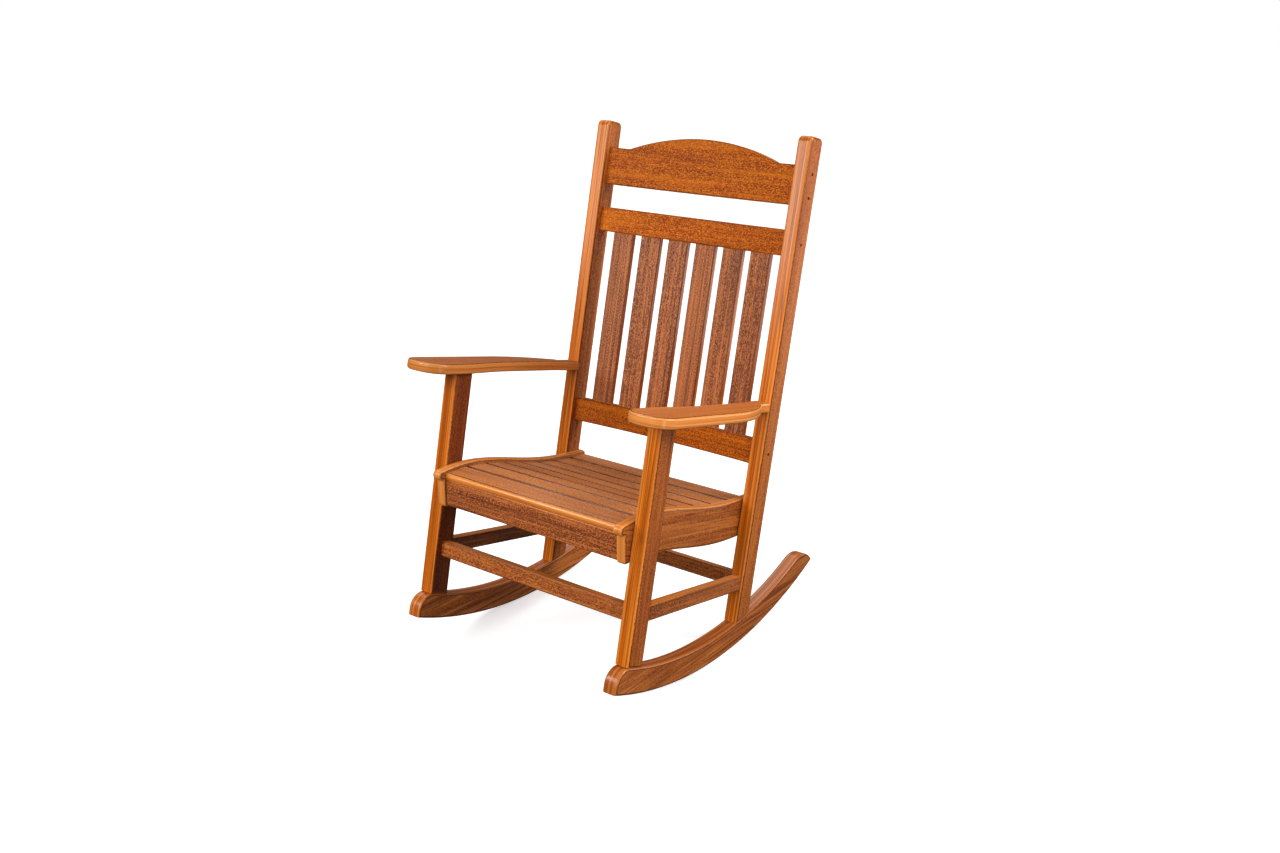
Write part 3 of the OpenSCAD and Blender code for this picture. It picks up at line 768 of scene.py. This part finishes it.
# the pockets that the ends of the back slats sit in
for node in ("back_rail_upper", "back_rail_lower"):
    for k in range(1, BACK_SLATS + 1):
        slat = bpy.data.objects[f"v_back_slat_{k}"]
        pocket = bpy.data.objects.new("pocket", slat.data.copy())
        cut_out(bpy.data.objects["v_" + node], pocket)


# ------------------------------------------------------------------ fasteners

def screw_piece(node):
    """Round-headed screws with a round drive recess, where the CAD has them."""
    vertices, faces = [], []
    for top, axis, length, reach in screw_islands(node):
        shank = 0.6 * reach
        drive = 0.42 * reach
        profile = [
            # the point and the shank
            (0.2 * shank, -length),
            (shank, -length + TIP_LENGTH),
            (shank, -HEAD_HEIGHT),
            # the head, rounded at its rim
            (reach, -HEAD_HEIGHT),
            (reach, -HEAD_EDGE),
            (0.9 * reach, -HEAD_EDGE / 4),
            (0.75 * reach, 0.0),
            # the drive recess
            (drive, 0.0),
            (drive, -DRIVE_DEPTH),
        ]
        v, f = turned(profile, top, axis)
        faces += [tuple(i + len(vertices) for i in face) for face in f]
        vertices += v
    mesh = bpy.data.meshes.new("v_" + node)
    mesh.from_pydata([tuple(v) for v in vertices], [], faces)
    mesh.materials.append(STEEL)
    piece = bpy.data.objects.new("v_" + node, mesh)
    bpy.context.scene.collection.objects.link(piece)
    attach(piece, "root")
    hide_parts(node)
    finish_shading(piece)


# the boards whose surface each group of screws goes into
DRILLED = {
    "screws_back": ("rear_post_right", "rear_post_left"),
    "screws_rocker": ("rocker_right", "rocker_left"),
    "screws_arm": ("rear_post_right", "rear_post_left"),
    "screws_seat_rail": ("seat_rail_right", "seat_rail_left"),
    "screws_cleat": ("seat_cleat_right", "seat_cleat_left"),
    "screws_slat": ("seat_cleat_right", "seat_cleat_left", "seat_center_support"),
}
for group, boards in DRILLED.items():
    screw_piece(group)
    screws = screw_islands(group)
    for node in boards:
        low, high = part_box(node)
        inside = [s for s in screws if low.x - BESIDE < s[0][0] < high.x + BESIDE]
        drill(bpy.data.objects["v_" + node], inside)

for piece in pieces:
    finish_shading(piece)

for node, obj in frame["nodes"].items():
    if node.startswith("dowels"):
        obj.data.materials.clear()
        obj.data.materials.append(STEEL)


# ------------------------------------------------------------------ floor, light and camera

def floor(size=60.0, glow=0.55):
    """A plain pale floor. It only shows: it throws no light back up at the chair."""
    n = Nodes("pale_floor")
    where = n.tree.nodes.new("ShaderNodeTexCoord").outputs["Object"]
    mottle = n.noise(where, (3, 3, 3), 3.0)
    colour = n.mix(mottle, linear(232, 232, 232), linear(238, 238, 238))
    n.link(colour, n.shader.inputs["Base Color"])
    n.shader.inputs["Roughness"].default_value = 0.8
    n.shader.inputs["Emission Color"].default_value = (1.0, 1.0, 1.0, 1.0)
    n.shader.inputs["Emission Strength"].default_value = glow
    corners = [(-size, -size, 0), (size, -size, 0), (size, size, 0), (-size, size, 0)]
    mesh = bpy.data.meshes.new("floor")
    mesh.from_pydata(corners, [], [(0, 1, 2, 3)])
    mesh.materials.append(n.material)
    obj = bpy.data.objects.new("floor", mesh)
    obj.visible_diffuse = False
    obj.visible_glossy = False
    bpy.context.scene.collection.objects.link(obj)


def studio(backdrop, surroundings):
    """A plain white backdrop, in a room whose walls and ceiling are dimmer."""
    world = bpy.data.worlds.new("studio")
    world.use_nodes = True
    tree = world.node_tree
    seen = tree.nodes.new("ShaderNodeLightPath").outputs["Is Camera Ray"]
    mix = tree.nodes.new("ShaderNodeMapRange")
    tree.links.new(seen, mix.inputs["Value"])
    mix.inputs["To Min"].default_value = surroundings
    mix.inputs["To Max"].default_value = backdrop
    tree.nodes["Background"].inputs["Color"].default_value = (1.0, 1.0, 1.0, 1.0)
    tree.links.new(mix.outputs["Result"], tree.nodes["Background"].inputs["Strength"])
    bpy.context.scene.world = world


def sun(name, towards, strength, spread):
    """A large soft light a long way off. towards points from the chair to the light."""
    light = bpy.data.lights.new(name, "SUN")
    light.energy = strength
    light.angle = math.radians(spread)
    obj = bpy.data.objects.new(name, light)
    obj.rotation_euler = Vector(towards).to_track_quat("Z", "Y").to_euler()
    bpy.context.scene.collection.objects.link(obj)


def area_light(name, place, target, size, power):
    """A rectangular lamp at a place, turned to a target. size is its width and height."""
    light = bpy.data.lights.new(name, "AREA")
    light.shape = "RECTANGLE"
    light.size, light.size_y = size
    light.energy = power
    obj = bpy.data.objects.new(name, light)
    obj.location = place
    obj.rotation_euler = (Vector(target) - Vector(place)).to_track_quat("-Z", "Y").to_euler()
    obj.visible_camera = False
    bpy.context.scene.collection.objects.link(obj)


def camera(place, azimuth, elevation, roll, lens, sensor_width=36):
    """The scene's camera. Angles are in degrees. Azimuth 0 looks along +Y, and a positive one
    looks from the sitter's left. A positive elevation looks down."""
    data = bpy.data.cameras.new("camera")
    data.lens = lens
    data.sensor_width = sensor_width
    obj = bpy.data.objects.new("camera", data)
    turn = Matrix.Rotation(math.radians(azimuth), 3, "Z")
    turn = turn @ Matrix.Rotation(math.radians(90 - elevation), 3, "X")
    turn = turn @ Matrix.Rotation(math.radians(roll), 3, "Z")
    obj.matrix_world = Matrix.Translation(place) @ turn.to_4x4()
    bpy.context.scene.collection.objects.link(obj)
    bpy.context.scene.camera = obj


floor()
studio(backdrop=1.0, surroundings=0.1)
sun("key", (0.72, 0.30, 0.62), strength=0.9, spread=40)
sun("front", (0.0, -0.88, 0.48), strength=1.95, spread=40)
sun("rear", (-0.5, 0.4, 0.75), strength=0.7, spread=40)
area_light("overhead", (1.6, 0.8, 1.8), target=(0.0, 0.1, 0.7), size=(1.2, 1.2), power=32)
area_light("softbox", (-1.7, -2.5, 1.9), target=(0.0, 0.2, 1.0), size=(0.8, 1.1), power=45)
area_light("low_softbox", (1.7, 2.4, 0.45), target=(0.3, 0.4, 1.0), size=(1.2, 0.8), power=7)
area_light("strip", (1.35, -0.8, 0.65), target=(0.2, 0.2, 0.65), size=(0.08, 1.3), power=5)

camera((1.6742, -2.3553, 1.4864), azimuth=34.69, elevation=18.14, roll=1.64, lens=33.86)
bpy.context.scene.view_settings.view_transform = "Standard"
